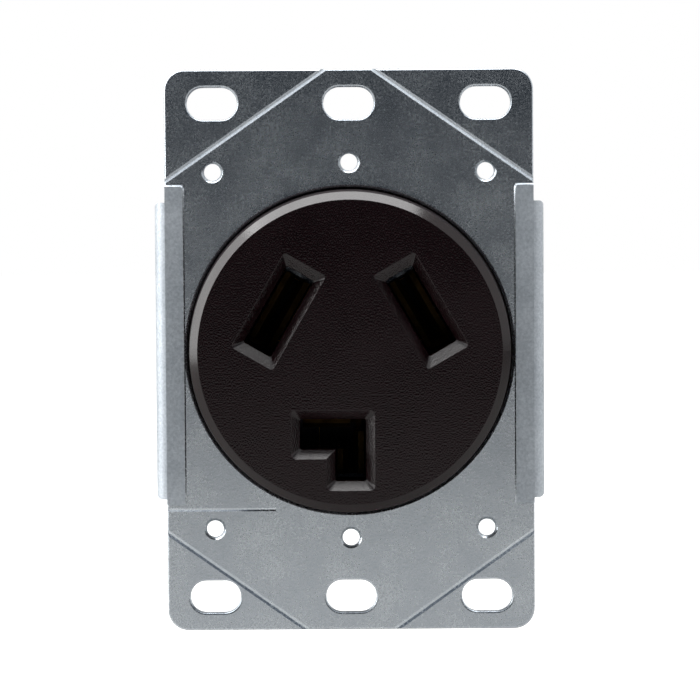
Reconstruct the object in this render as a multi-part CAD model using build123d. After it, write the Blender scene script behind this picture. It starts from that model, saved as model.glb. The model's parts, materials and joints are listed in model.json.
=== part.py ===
# A three-slot 30 ampere dryer outlet for a wall box: a galvanised mounting strap
# with break-off ears, a black moulded face and rear housing held in the strap's
# side flanges, three sprung brass contacts, and a clamp terminal behind each.
#
# Millimetres. +Z is up, and the face looks along -Y, so the wall box is at +Y.
# The origin is the centre of the four box-screw slots, on the strap's rear plane.
# The three terminals lie on spokes about the Y axis. Each is drawn along +X, with
# X as its radius and Z as its width, and is then turned to its own angle.
import os
from math import atan2, degrees, hypot

from build123d import *

# Strap, pressed from galvanised sheet
SHEET = 1.3
STRAP_WIDTH = 62.2
STRAP_END = 5.73
STRAP_CORNER_R = 3.5
BOX_SCREW_DX = 46.04
BOX_SCREW_DZ = 83.34
SLOT_LENGTH = 8.5
SLOT_WIDTH = 5.4
PLATE_SCREW_DZ = 60.33
CENTRE_SCREW_DZ = 63.5
TAPPED_R = 1.43
TAPPED_RIM = 0.4
EDGE_ROLL = 0.4

# Score lines that let the strap's ears break off, from the side edge to the end edge
SCORE_DEPTH = 0.22
SCORE_WIDTH = 0.85
TOP_SCORE_SIDE_Z = 28.7
TOP_SCORE_END_X = 4.1
BOTTOM_SCORE_SIDE_Z = 30.7
BOTTOM_SCORE_END_X = 7.5
GAUGE_Z = 26.9
GAUGE_INNER_X = 12.7
GAUGE_DEPTH = 0.14
GAUGE_WIDTH = 0.55

# Raised strips that stiffen the narrow webs beside the round hole
BAND_RAISE = 0.2
BAND_WIDTH = 3.3
BAND_TOP_Z = 28.0
BAND_BOTTOM_Z = 26.0
BAND_CORNER_R = 0.7

# Side flanges and the four tabs that are crimped over the rear housing
FLANGE_LENGTH = 50.2
FLANGE_PROUD = 1.8
FLANGE_BEND_R = 2.6
FLANGE_CORNER_R = 0.9
FLANGE_END_R = 2.0
TAB_WIDTH = 8.0
TAB_SPACING = 24.0
TAB_REACH = 3.8
TAB_BEND_R = 1.6
CRIMP_GAP = 0.05
CRIMP_DRAW = 0.3

# Moulded face and the shoulder behind the strap
FACE_R = 26.8
FACE_PROUD = 7.9
FACE_EDGE = 1.4
FACE_DRAFT = 0.45
STRAP_HOLE_GAP = 0.75
SHOULDER_SIDE_GAP = 0.2
SHOULDER_HEIGHT = 50.0
SHOULDER_CORNER_R = 6.0
SHOULDER_STEP = 0.5
SHOULDER_EDGE = 0.7
SHOULDER_DEPTH = 7.0
FACE_WALL = 4.6

# Slots in the face
HOT_ANGLE = 30.0
NEUTRAL_ANGLE = -90.0
SLOT_RADIUS = 13.7
HOT_SLOT_WIDTH = 5.2
HOT_SLOT_LENGTH = 14.6
HOT_BEVEL_SIDE = 1.4
HOT_BEVEL_END = 1.75
NEUTRAL_SLOT_WIDTH = 5.1
NEUTRAL_LEG_LENGTH = 10.4
NEUTRAL_ARM_LENGTH = 11.0
NEUTRAL_BEVEL = 1.55
NEUTRAL_BEVEL_CORNER_R = 0.8
BEVEL_DEPTH = 1.5
SLOT_CORNER_R = 0.3
BEVEL_CORNER_R = 0.5

# Brass contacts and the steel springs that back them
LEAF = 1.0
LEAF_LENGTH = 12.6
GRIP_GAP = 0.9
CHANNEL_GAP = 1.8
FLARE_GAP = 2.6
LEAF_FRONT = 0.5
GRIP_DEPTH = 3.0
CHANNEL_START = 6.4
BRIDGE_START = 8.0
LEAF_BACK = 13.5
TAIL_WIDTH = 7.0
SPRING_SHEET = 0.6
SPRING_GAP = 0.07
SPRING_LENGTH = 11.0
SPRING_BRIDGE_START = 7.2
SPRING_BACK = 10.4
POCKET_GAP = 0.35
BLADE_DEPTH = 15.5

# Terminal lugs, their pressure plates and screws
LUG_FRONT = 16.4
LUG_DEPTH = 9.0
LUG_WIDTH = 11.0
LUG_SIDE_WALL = 1.8
LUG_INNER_WALL = 1.5
LUG_OUTER_WALL = 3.7
LUG_CORNER_R = 0.6
WIRE_GAP = 6.7
PLATE_THICK = 1.3
PLATE_SIDE_GAP = 0.2
PLATE_END_GAP = 0.3
CLEARANCE = 0.1
THREAD_GAP = 0.05
TERMINAL_SCREW_R = 3.175
TERMINAL_SCREW_LENGTH = 6.6
TERMINAL_SCREW_EDGE = 0.4
TERMINAL_PIN_R = 1.5
TERMINAL_DRIVE_WIDTH = 1.2
TERMINAL_DRIVE_DEPTH = 1.7
SCREW_ACCESS_R = 3.5
SCREW_ACCESS_EDGE = 0.6
INSULATOR = 0.8

# Rear housing
RIM_DEPTH = 5.0
RIM_EDGE_R = 0.8
TOWER_FLAT_DEPTH = 0.8
TOWER_EDGE_R = 1.5
REAR_WALL = 3.2
WIRE_WELL_R = 3.2
WIRE_FUNNEL = 1.1
COLLAR_R = 6.0
COLLAR_RAISE = 0.6
COLLAR_EDGE = 0.25
BARRIER_WIDTH = 1.8
BARRIER_HUB_R = 4.2
LUG_RIB_STEP = 0.58

# Screws that join the two mouldings
ASSEMBLY_ANGLES = (90.0, 210.0, 330.0)
ASSEMBLY_WALL = 3.3
ASSEMBLY_SCREW_R = 1.75
ASSEMBLY_SCREW_LENGTH = 25.4
ASSEMBLY_POINT = 0.6
ASSEMBLY_HEAD_R = 3.1
ASSEMBLY_HEAD_HEIGHT = 2.2
ASSEMBLY_HEAD_EDGE_R = 0.7
ASSEMBLY_HEAD_GAP = 0.4
ASSEMBLY_HEAD_SINK = 4.0
ASSEMBLY_DRIVE_WIDTH = 0.9
ASSEMBLY_DRIVE_DEPTH = 1.1

# Places that follow from the sizes above
STRAP_FRONT = -SHEET
STRAP_HEIGHT = BOX_SCREW_DZ + 2 * STRAP_END
WEB_WIDTH = STRAP_WIDTH / 2 - FACE_R - STRAP_HOLE_GAP
FACE_FRONT = STRAP_FRONT - FACE_PROUD
POCKET_FRONT = FACE_FRONT + FACE_WALL
BAND_FRONT = STRAP_FRONT - BAND_RAISE
FLANGE_OUTER_X = STRAP_WIDTH / 2 + FLANGE_PROUD
FLANGE_INNER_X = FLANGE_OUTER_X - SHEET
SHOULDER_WIDTH = 2 * (FLANGE_INNER_X - SHOULDER_SIDE_GAP)
RIM_BACK = SHOULDER_DEPTH + RIM_DEPTH
FLANGE_BACK = RIM_BACK - CRIMP_DRAW
TAB_FRONT = RIM_BACK + CRIMP_GAP
LUG_BACK = LUG_FRONT + LUG_DEPTH
LUG_MIDDLE = LUG_FRONT + LUG_DEPTH / 2
TOWER_BACK = LUG_BACK + CLEARANCE + REAR_WALL
LEAF_OFFSET = (CHANNEL_GAP + LEAF) / 2
TAIL_R = SLOT_RADIUS - LEAF_OFFSET
TAIL_OUTER_R = TAIL_R + LEAF / 2
LUG_WINDOW_INNER_R = TAIL_R - LEAF / 2 - CRIMP_GAP
LUG_INNER_R = LUG_WINDOW_INNER_R - LUG_INNER_WALL
PLATE_INNER_R = TAIL_OUTER_R + WIRE_GAP
PLATE_OUTER_R = PLATE_INNER_R + PLATE_THICK
LUG_WINDOW_OUTER_R = PLATE_OUTER_R + CLEARANCE
LUG_OUTER_R = LUG_WINDOW_OUTER_R + LUG_OUTER_WALL
TERMINAL_SCREW_END = PLATE_OUTER_R + TERMINAL_SCREW_LENGTH
TOWER_FLAT_R = TERMINAL_SCREW_END + CLEARANCE
TOWER_R = TOWER_FLAT_R + TOWER_FLAT_DEPTH
SHOULDER_BULGE_R = max(TOWER_R, FACE_R + FACE_DRAFT) + SHOULDER_STEP
ASSEMBLY_CIRCLE_R = TOWER_R - ASSEMBLY_WALL - ASSEMBLY_HEAD_R - ASSEMBLY_HEAD_GAP
LUG_WINDOW_HALF = LUG_WIDTH / 2 - LUG_SIDE_WALL
INSULATOR_FRONT = LUG_FRONT - INSULATOR
WIRE_R = TAIL_OUTER_R + WIRE_GAP / 2
COLLAR_BACK = TOWER_BACK + COLLAR_RAISE
HEAD_SEAT = TOWER_BACK - ASSEMBLY_HEAD_SINK - ASSEMBLY_HEAD_HEIGHT
BRIDGE_OUTER = LEAF_LENGTH / 2 + LEAF
SPRING_SHIFT = (LEAF + SPRING_SHEET) / 2 + SPRING_GAP
POCKET_HALF_R = LEAF_OFFSET + LEAF / 2 + SPRING_GAP + SPRING_SHEET + POCKET_GAP
POCKET_HALF_Z = BRIDGE_OUTER + POCKET_GAP
LUG_RIB_INNER_R = SLOT_RADIUS + POCKET_HALF_R + LUG_RIB_STEP
NEUTRAL_TOP_R = SLOT_RADIUS - NEUTRAL_SLOT_WIDTH / 2
NEUTRAL_END_R = NEUTRAL_TOP_R + NEUTRAL_LEG_LENGTH
NEUTRAL_ARM_Z = NEUTRAL_SLOT_WIDTH / 2 - NEUTRAL_ARM_LENGTH
NEUTRAL_BRIDGE_R = NEUTRAL_END_R - LEAF / 2
NEUTRAL_INNER_LEAF_R = NEUTRAL_TOP_R + NEUTRAL_SLOT_WIDTH + LEAF / 2


def block(x0, x1, y0, y1, z0, z1):
    """A box between two corners."""
    middle = Pos((x0 + x1) / 2, (y0 + y1) / 2, (z0 + z1) / 2)
    return middle * Box(x1 - x0, y1 - y0, z1 - z0)


def prism(sketch, y0, y1):
    """A sketch of (x, z) points, drawn out from depth y0 to depth y1."""
    return Pos(0, y1, 0) * extrude(Plane.XZ * sketch, y1 - y0)


def rod(radius, y0, y1, x=0.0, z=0.0):
    """A round bar along Y."""
    return prism(Pos(x, z) * Circle(radius), y0, y1)


def spoke(radius, x0, x1, y):
    """A round bar along X, at depth y."""
    return Pos((x0 + x1) / 2, y, 0) * Rot(0, 90, 0) * Cylinder(radius, x1 - x0)


def both_sides(shape):
    """The shape with its mirror image at the left."""
    return shape + mirror(shape, about=Plane.YZ)


def at_right(shape):
    return Rot(0, -HOT_ANGLE, 0) * shape


def at_left(shape):
    return mirror(at_right(shape), about=Plane.YZ)


def at_bottom(shape):
    return Rot(0, -NEUTRAL_ANGLE, 0) * shape


TERMINALS = {"left": at_left, "right": at_right, "neutral": at_bottom}


def shifted(points, distance):
    """A line of points moved sideways, with each corner where its two moved runs meet."""
    normals = []
    for (x0, y0), (x1, y1) in zip(points, points[1:]):
        run = hypot(x1 - x0, y1 - y0)
        normals.append(((y1 - y0) / run, -(x1 - x0) / run))
    moved = []
    for index, (x, y) in enumerate(points):
        before = normals[max(index - 1, 0)]
        after = normals[min(index, len(normals) - 1)]
        scale = distance / (1 + before[0] * after[0] + before[1] * after[1])
        moved.append((x + (before[0] + after[0]) * scale, y + (before[1] + after[1]) * scale))
    return moved


def bent_strip(points, thickness, width, start):
    """Sheet that follows (x, y) points, drawn out along Z from start."""
    outline = shifted(points, thickness / 2) + shifted(points, -thickness / 2)[::-1]
    return Pos(0, 0, start) * extrude(make_face(Polyline(*outline, close=True)), width)


def leaf_line(side, back):
    """The middle line of a contact leaf: flared mouth, grip, and straight channel."""
    flare, grip, channel = ((gap + LEAF) / 2 for gap in (FLARE_GAP, GRIP_GAP, CHANNEL_GAP))
    steps = ((flare, LEAF_FRONT), (grip, GRIP_DEPTH), (channel, CHANNEL_START), (channel, back))
    return [(side * offset, depth) for offset, depth in steps]


def moved_line(points, x):
    return [(x + px, py) for px, py in points]


def score(start, end, depth, width):
    """A V-shaped groove pressed into the strap's front along a straight line."""
    run_x, run_z = end[0] - start[0], end[1] - start[1]
    length = hypot(run_x, run_z)
    section = make_face(Polyline((-depth, 0), (0, width / 2), (depth, 0), (0, -width / 2), close=True))
    bar = Pos(-length / 2, 0, 0) * extrude(Plane.YZ * section, length)
    angle = degrees(atan2(run_z, run_x))
    return Pos((start[0] + end[0]) / 2, STRAP_FRONT, (start[1] + end[1]) / 2) * Rot(0, -angle, 0) * bar


def band_outline(inset):
    """A raised strip's outline, with its upper inner corner rounded."""
    width = BAND_WIDTH - inset
    height = BAND_TOP_Z + BAND_BOTTOM_Z - 2 * inset
    centre = Pos(STRAP_WIDTH / 2 - width / 2, (BAND_TOP_Z - BAND_BOTTOM_Z) / 2)
    sketch = centre * Rectangle(width, height)
    corner = sketch.vertices().group_by(Axis.Y)[-1].sort_by(Axis.X)[0]
    return fillet(corner, BAND_CORNER_R)


def flange():
    """The right flange: bent back from the raised strip, with two crimped tabs."""
    centre = (FLANGE_OUTER_X - FLANGE_BEND_R, BAND_FRONT + FLANGE_BEND_R)
    inner_bend_r = FLANGE_BEND_R - SHEET
    start_x = centre[0] - SHEET
    profile = make_face([
        Line((start_x, BAND_FRONT), (centre[0], BAND_FRONT)),
        CenterArc(centre, FLANGE_BEND_R, -90, 90),
        Line((FLANGE_OUTER_X, centre[1]), (FLANGE_OUTER_X, FLANGE_BACK)),
        Line((FLANGE_OUTER_X, FLANGE_BACK), (FLANGE_INNER_X, FLANGE_BACK)),
        Line((FLANGE_INNER_X, FLANGE_BACK), (FLANGE_INNER_X, centre[1])),
        CenterArc(centre, inner_bend_r, 0, -90),
        Line((centre[0], BAND_FRONT + SHEET), (start_x, BAND_FRONT + SHEET)),
        Line((start_x, BAND_FRONT + SHEET), (start_x, BAND_FRONT)),
    ])
    sheet = Pos(0, 0, -FLANGE_LENGTH / 2) * extrude(profile, FLANGE_LENGTH)
    free_corners = sheet.edges().filter_by(Axis.X).group_by(Axis.Y)[-1]
    sheet = fillet(free_corners, FLANGE_END_R)
    sheet &= prism(RectangleRounded(2 * FLANGE_OUTER_X, FLANGE_LENGTH, FLANGE_CORNER_R), BAND_FRONT, FLANGE_BACK)

    bend = (FLANGE_OUTER_X - TAB_BEND_R, TAB_FRONT + SHEET - TAB_BEND_R)
    tab_back = TAB_FRONT + SHEET
    tip_x = FLANGE_OUTER_X - TAB_REACH
    root = FLANGE_BACK - SHEET
    tab = make_face([
        Line((FLANGE_OUTER_X, root), (FLANGE_OUTER_X, bend[1])),
        CenterArc(bend, TAB_BEND_R, 0, 90),
        Line((bend[0], tab_back), (tip_x, tab_back)),
        Line((tip_x, tab_back), (tip_x, TAB_FRONT)),
        Line((tip_x, TAB_FRONT), (bend[0], TAB_FRONT)),
        CenterArc(bend, TAB_BEND_R - SHEET, 90, -90),
        Line((FLANGE_INNER_X, bend[1]), (FLANGE_INNER_X, root)),
        Line((FLANGE_INNER_X, root), (FLANGE_OUTER_X, root)),
    ])
    tab = extrude(tab, TAB_WIDTH)
    for z in (-TAB_SPACING / 2, TAB_SPACING / 2):
        sheet += Pos(0, 0, z - TAB_WIDTH / 2) * tab
    return sheet


def rolled_edges(sheet):
    """A punched sheet with its front edges drawn round by the die, and its tapped holes countersunk."""
    def tapped(edge):
        return edge.geom_type == GeomType.CIRCLE and edge.radius < TAPPED_R + 2 * TAPPED_RIM

    edges = sheet.faces().sort_by(Axis.Y)[0].edges()
    sheet = chamfer(edges.filter_by(tapped), TAPPED_RIM)
    edges = sheet.faces().sort_by(Axis.Y)[0].edges()
    roll = min(EDGE_ROLL, WEB_WIDTH / 3)
    return fillet(edges.filter_by(lambda edge: not tapped(edge)), roll)


def mounting_strap():
    half_x, half_z = STRAP_WIDTH / 2, STRAP_HEIGHT / 2
    outline = RectangleRounded(STRAP_WIDTH, STRAP_HEIGHT, STRAP_CORNER_R)
    outline -= Circle(FACE_R + STRAP_HOLE_GAP)
    for x in (-BOX_SCREW_DX / 2, 0, BOX_SCREW_DX / 2):
        for z in (-BOX_SCREW_DZ / 2, BOX_SCREW_DZ / 2):
            outline -= Pos(x, z) * SlotOverall(SLOT_LENGTH, SLOT_WIDTH)
    plate_x, plate_z, centre_z = BOX_SCREW_DX / 2, PLATE_SCREW_DZ / 2, CENTRE_SCREW_DZ / 2
    for sign in (-1, 1):
        for x, z in ((-plate_x, plate_z), (plate_x, plate_z), (0, centre_z)):
            outline -= Pos(x, sign * z) * Circle(TAPPED_R)
    strap = rolled_edges(prism(outline, STRAP_FRONT, 0))

    strip = prism(band_outline(0), STRAP_FRONT, STRAP_FRONT / 2) + loft([
        Pos(0, STRAP_FRONT, 0) * (Plane.XZ * band_outline(0)).face(),
        Pos(0, BAND_FRONT, 0) * (Plane.XZ * band_outline(BAND_RAISE)).face(),
    ], ruled=True)
    hollow = prism(band_outline(BAND_RAISE), BAND_FRONT + SHEET, 0)
    web_trim = rod(FACE_R + STRAP_HOLE_GAP, BAND_FRONT, 0)
    strap = strap + both_sides(strip) - both_sides(hollow) + both_sides(flange()) - web_trim

    top = score((half_x, TOP_SCORE_SIDE_Z), (TOP_SCORE_END_X, half_z), SCORE_DEPTH, SCORE_WIDTH)
    bottom = score((half_x, -BOTTOM_SCORE_SIDE_Z), (BOTTOM_SCORE_END_X, -half_z), SCORE_DEPTH, SCORE_WIDTH)
    strap -= both_sides(top) + both_sides(bottom)
    strap -= score((-half_x, -GAUGE_Z), (-GAUGE_INNER_X, -GAUGE_Z), GAUGE_DEPTH, GAUGE_WIDTH)
    return strap


def shoulder_outline():
    """The outline that both mouldings share behind the strap."""
    return Circle(SHOULDER_BULGE_R) + RectangleRounded(SHOULDER_WIDTH, SHOULDER_HEIGHT, SHOULDER_CORNER_R)


def hot_slot_sketch(margin_side, margin_end, corner_r):
    width = HOT_SLOT_WIDTH + 2 * margin_side
    length = HOT_SLOT_LENGTH + 2 * margin_end
    return Pos(SLOT_RADIUS, 0) * RectangleRounded(width, length, corner_r)


def neutral_leg_sketch(margin, corner_r):
    """The part of the L-shaped slot that lies along the spoke."""
    length = NEUTRAL_LEG_LENGTH + 2 * margin
    width = NEUTRAL_SLOT_WIDTH + 2 * margin
    return Pos((NEUTRAL_TOP_R + NEUTRAL_END_R) / 2, 0) * RectangleRounded(length, width, corner_r)


def neutral_arm_sketch(margin, corner_r):
    """The part of the L-shaped slot that lies across the spoke's inner end."""
    length = NEUTRAL_ARM_LENGTH + 2 * margin
    width = NEUTRAL_SLOT_WIDTH + 2 * margin
    middle_z = (NEUTRAL_ARM_Z + NEUTRAL_SLOT_WIDTH / 2) / 2
    return Pos(NEUTRAL_TOP_R + NEUTRAL_SLOT_WIDTH / 2, middle_z) * RectangleRounded(width, length, corner_r)


def slot_cut(inner, outer):
    """The bevelled mouth of a slot and its straight way through the face."""
    mouth = loft([
        Pos(0, FACE_FRONT, 0) * (Plane.XZ * outer).face(),
        Pos(0, FACE_FRONT + BEVEL_DEPTH, 0) * (Plane.XZ * inner).face(),
    ], ruled=True)
    return mouth + prism(inner, FACE_FRONT + BEVEL_DEPTH / 2, POCKET_FRONT + POCKET_GAP)


def hot_pocket(y0, y1):
    return block(SLOT_RADIUS - POCKET_HALF_R, SLOT_RADIUS + POCKET_HALF_R, y0, y1,
                 -POCKET_HALF_Z, POCKET_HALF_Z)


def neutral_pocket(y0, y1):
    """An L-shaped pocket round the slot's leg and arm."""
    half_leg = POCKET_HALF_R
    inner_r = SLOT_RADIUS - POCKET_HALF_R
    end_r = NEUTRAL_BRIDGE_R + LEAF / 2 + SPRING_GAP + SPRING_SHEET + POCKET_GAP
    leg = block(inner_r, end_r, y0, y1, -half_leg, half_leg)
    arm = block(inner_r, SLOT_RADIUS + POCKET_HALF_R, y0, y1, NEUTRAL_ARM_Z - POCKET_GAP, half_leg)
    return leg + arm


def pockets(y0, y1):
    hot = hot_pocket(y0, y1)
    return at_left(hot) + at_right(hot) + at_bottom(neutral_pocket(y0, y1))


def lug_ribs():
    """Two ribs of the face moulding that reach back and hold a lug and its insulator."""
    outer_z = LUG_WIDTH / 2 - CLEARANCE
    rib = block(LUG_RIB_INNER_R, LUG_OUTER_R - CLEARANCE, SHOULDER_DEPTH - CLEARANCE, INSULATOR_FRONT,
                LUG_WINDOW_HALF, outer_z)
    return rib + mirror(rib, about=Plane.XY)


def assembly_places():
    """Where the assembly screws stand on their circle."""
    for angle in ASSEMBLY_ANGLES:
        yield Rot(0, -angle, 0) * Pos(ASSEMBLY_CIRCLE_R, 0, 0)


def face_disc():
    """The round face, with its bevelled edge and the taper that lets it leave the mould."""
    base_r = FACE_R + FACE_DRAFT
    half = Polyline(
        (0, FACE_FRONT), (FACE_R - FACE_EDGE, FACE_FRONT), (FACE_R, FACE_FRONT + FACE_EDGE),
        (base_r, 0), (base_r, SHOULDER_DEPTH), (0, SHOULDER_DEPTH), close=True)
    return revolve(make_face(half), Axis.Y)


def face_body():
    shoulder = prism(shoulder_outline(), 0, SHOULDER_DEPTH)
    shoulder = chamfer(shoulder.edges().group_by(Axis.Y)[0], SHOULDER_EDGE)
    body = face_disc() + shoulder

    hot_inner = hot_slot_sketch(0, 0, SLOT_CORNER_R)
    hot_outer = hot_slot_sketch(HOT_BEVEL_SIDE, HOT_BEVEL_END, BEVEL_CORNER_R)
    hot_cut = slot_cut(hot_inner, hot_outer)
    body -= at_left(hot_cut) + at_right(hot_cut)
    for sketch in (neutral_leg_sketch, neutral_arm_sketch):
        cut = slot_cut(sketch(0, SLOT_CORNER_R), sketch(NEUTRAL_BEVEL, NEUTRAL_BEVEL_CORNER_R))
        body -= at_bottom(cut)
    body -= pockets(POCKET_FRONT, SHOULDER_DEPTH)

    for place in TERMINALS.values():
        body += place(lug_ribs())
    screw_end = HEAD_SEAT - ASSEMBLY_SCREW_LENGTH - CLEARANCE
    for place in assembly_places():
        body -= place * rod(ASSEMBLY_SCREW_R + THREAD_GAP, screw_end, SHOULDER_DEPTH)
    return body


def barriers():
    """Low walls on the back that keep the wires apart, from a hub to each assembly screw."""
    wall = block(0, ASSEMBLY_CIRCLE_R, TOWER_BACK - COLLAR_RAISE, COLLAR_BACK, -BARRIER_WIDTH / 2, BARRIER_WIDTH / 2)
    shape = rod(BARRIER_HUB_R, TOWER_BACK - COLLAR_RAISE, COLLAR_BACK)
    for angle in ASSEMBLY_ANGLES:
        shape += Rot(0, -angle, 0) * wall
    return shape


def rear_housing():
    body = prism(shoulder_outline(), SHOULDER_DEPTH, RIM_BACK)
    body = fillet(body.edges().group_by(Axis.Y)[-1], RIM_EDGE_R)
    tower = rod(TOWER_R, SHOULDER_DEPTH, TOWER_BACK)
    flat = block(TOWER_FLAT_R, 2 * TOWER_R, RIM_BACK, TOWER_BACK, -TOWER_R, TOWER_R)
    for place in TERMINALS.values():
        tower -= place(flat)
    tower = fillet(tower.edges().group_by(Axis.Y)[-1], TOWER_EDGE_R)
    body += tower + barriers()

    collar = rod(COLLAR_R, LUG_BACK + CLEARANCE, COLLAR_BACK, x=WIRE_R)
    collar = chamfer(collar.edges().group_by(Axis.Y)[-1], COLLAR_EDGE)
    chamber = block(LUG_INNER_R - CLEARANCE, LUG_OUTER_R + CLEARANCE, SHOULDER_DEPTH, LUG_BACK + CLEARANCE,
                    -LUG_WIDTH / 2 - CLEARANCE, LUG_WIDTH / 2 + CLEARANCE)
    well = rod(WIRE_WELL_R, LUG_BACK, COLLAR_BACK, x=WIRE_R)
    funnel = Pos(WIRE_R, COLLAR_BACK - WIRE_FUNNEL / 2, 0) * Rot(90, 0, 0) * Cone(
        WIRE_WELL_R + WIRE_FUNNEL, WIRE_WELL_R, WIRE_FUNNEL)
    access = spoke(SCREW_ACCESS_R, LUG_OUTER_R, TOWER_R, LUG_MIDDLE)
    access += Pos(TOWER_FLAT_R - SCREW_ACCESS_EDGE / 2, LUG_MIDDLE, 0) * Rot(0, 90, 0) * Cone(
        SCREW_ACCESS_R, SCREW_ACCESS_R + SCREW_ACCESS_EDGE, SCREW_ACCESS_EDGE)
    for place in TERMINALS.values():
        body += place(collar)
    for place in TERMINALS.values():
        body -= place(chamber + well + funnel + access)
    body -= pockets(SHOULDER_DEPTH, BLADE_DEPTH)

    for place in assembly_places():
        body -= place * rod(ASSEMBLY_SCREW_R + CLEARANCE, SHOULDER_DEPTH, COLLAR_BACK)
        body -= place * rod(ASSEMBLY_HEAD_R + ASSEMBLY_HEAD_GAP, HEAD_SEAT, COLLAR_BACK)
    return body


def tail(start):
    """The end of a contact that lies in its lug, under the wire."""
    return block(TAIL_R - LEAF / 2, TAIL_OUTER_R, start, LUG_BACK, -TAIL_WIDTH / 2, TAIL_WIDTH / 2)


def hot_contact():
    """A channel folded along one edge, with two sprung leaves and a tail."""
    contact = tail(LEAF_BACK - LEAF)
    for side in (-1, 1):
        line = moved_line(leaf_line(side, LEAF_BACK), SLOT_RADIUS)
        contact += bent_strip(line, LEAF, LEAF_LENGTH, -LEAF_LENGTH / 2)
    reach = LEAF_OFFSET + LEAF / 2
    fold = block(SLOT_RADIUS - reach, SLOT_RADIUS + reach, BRIDGE_START, LEAF_BACK,
                 -BRIDGE_OUTER, -LEAF_LENGTH / 2)
    outer_edges = fold.edges().filter_by(Axis.Y).group_by(Axis.Z)[0]
    return contact + fillet(outer_edges, LEAF / 2)


def hot_spring():
    """A steel clip that presses the two leaves together."""
    start = LEAF_LENGTH / 2 - SPRING_LENGTH
    clip = None
    for side in (-1, 1):
        line = leaf_line(1, SPRING_BACK)[1:]
        line = [(side * x, y) for x, y in shifted(line, SPRING_SHIFT)]
        arm = bent_strip(moved_line(line, SLOT_RADIUS), SPRING_SHEET, SPRING_LENGTH, start)
        clip = arm if clip is None else clip + arm
    reach = LEAF_OFFSET + LEAF / 2 + SPRING_GAP + SPRING_SHEET
    outer_z = LEAF_LENGTH / 2 + SPRING_GAP + SPRING_SHEET
    fold = block(SLOT_RADIUS - reach, SLOT_RADIUS + reach, SPRING_BRIDGE_START, SPRING_BACK,
                 LEAF_LENGTH / 2 + SPRING_GAP, outer_z)
    for side in (-1, 1):
        web_x = SLOT_RADIUS + side * (reach - SPRING_SHEET / 2)
        fold += block(web_x - SPRING_SHEET / 2, web_x + SPRING_SHEET / 2, SPRING_BRIDGE_START, SPRING_BACK,
                      LEAF_LENGTH / 2 - SPRING_SHEET, outer_z)
    return clip + fold


def neutral_leaf(side, inner_r):
    """A sprung leaf beside the slot's leg."""
    line = leaf_line(1, LEAF_BACK)
    outline = shifted(line, LEAF / 2) + shifted(line, -LEAF / 2)[::-1]
    face = make_face(Polyline(*[(y, side * x) for x, y in outline], close=True))
    drawn = extrude(Plane.YZ * face, NEUTRAL_BRIDGE_R - inner_r)
    return Pos(inner_r, 0, 0) * drawn


def neutral_contact():
    """A strip folded three times to grip the L-shaped blade's arm and leg."""
    inner_line = moved_line(leaf_line(-1, LEAF_BACK), SLOT_RADIUS)
    arm_start = NEUTRAL_ARM_Z + POCKET_GAP
    arm_leaf = bent_strip(inner_line, LEAF, -arm_start, arm_start)
    contact = tail(LEAF_BACK - LEAF) + arm_leaf
    outer_leaf_r = TAIL_OUTER_R + LEAF
    contact += neutral_leaf(1, outer_leaf_r) + neutral_leaf(-1, NEUTRAL_INNER_LEAF_R)

    side_z = LEAF_OFFSET + LEAF / 2
    top_fold = block(TAIL_R - LEAF / 2, outer_leaf_r + LEAF, BRIDGE_START, LEAF_BACK, -side_z, side_z)
    top_fold -= block(TAIL_OUTER_R, outer_leaf_r + LEAF, BRIDGE_START, LEAF_BACK, -side_z, side_z - LEAF)
    top_edge = top_fold.edges().filter_by(Axis.Y).group_by(Axis.Z)[-1].sort_by(Axis.X)[0]
    contact += fillet(top_edge, LEAF / 2)
    end_fold = block(NEUTRAL_BRIDGE_R - LEAF / 2, NEUTRAL_BRIDGE_R + LEAF / 2, BRIDGE_START, LEAF_BACK,
                     -side_z, side_z)
    end_edges = end_fold.edges().filter_by(Axis.Y).group_by(Axis.X)[-1]
    return contact + fillet(end_edges, LEAF / 2)


def neutral_spring():
    """A steel clip round the two leaves beside the leg."""
    line = shifted(leaf_line(1, SPRING_BACK)[1:], SPRING_SHIFT)
    outline = shifted(line, SPRING_SHEET / 2) + shifted(line, -SPRING_SHEET / 2)[::-1]
    end_r = NEUTRAL_BRIDGE_R + LEAF / 2 + SPRING_GAP
    clip = None
    for side in (-1, 1):
        face = make_face(Polyline(*[(y, side * x) for x, y in outline], close=True))
        arm = Pos(NEUTRAL_INNER_LEAF_R, 0, 0) * extrude(Plane.YZ * face, end_r - NEUTRAL_INNER_LEAF_R)
        clip = arm if clip is None else clip + arm
    side_z = LEAF_OFFSET + LEAF / 2 + SPRING_GAP + SPRING_SHEET
    return clip + block(end_r, end_r + SPRING_SHEET, SPRING_BRIDGE_START, SPRING_BACK, -side_z, side_z)


def insulator():
    """A fibre plate between the blade's end and the wire, which is also the wire's stop."""
    half = LUG_WIDTH / 2 - CLEARANCE
    return block(TAIL_OUTER_R + CLEARANCE, LUG_OUTER_R - CLEARANCE, INSULATOR_FRONT, LUG_FRONT, -half, half)


def terminal_lug():
    """A square brass sleeve, tapped through its outer wall."""
    lug = block(LUG_INNER_R, LUG_OUTER_R, LUG_FRONT, LUG_BACK, -LUG_WIDTH / 2, LUG_WIDTH / 2)
    lug = fillet(lug.edges().filter_by(Axis.Y), LUG_CORNER_R)
    lug -= block(LUG_WINDOW_INNER_R, LUG_WINDOW_OUTER_R, LUG_FRONT, LUG_BACK,
                 -LUG_WINDOW_HALF, LUG_WINDOW_HALF)
    return lug - spoke(TERMINAL_SCREW_R + THREAD_GAP, LUG_WINDOW_OUTER_R, LUG_OUTER_R, LUG_MIDDLE)


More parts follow.
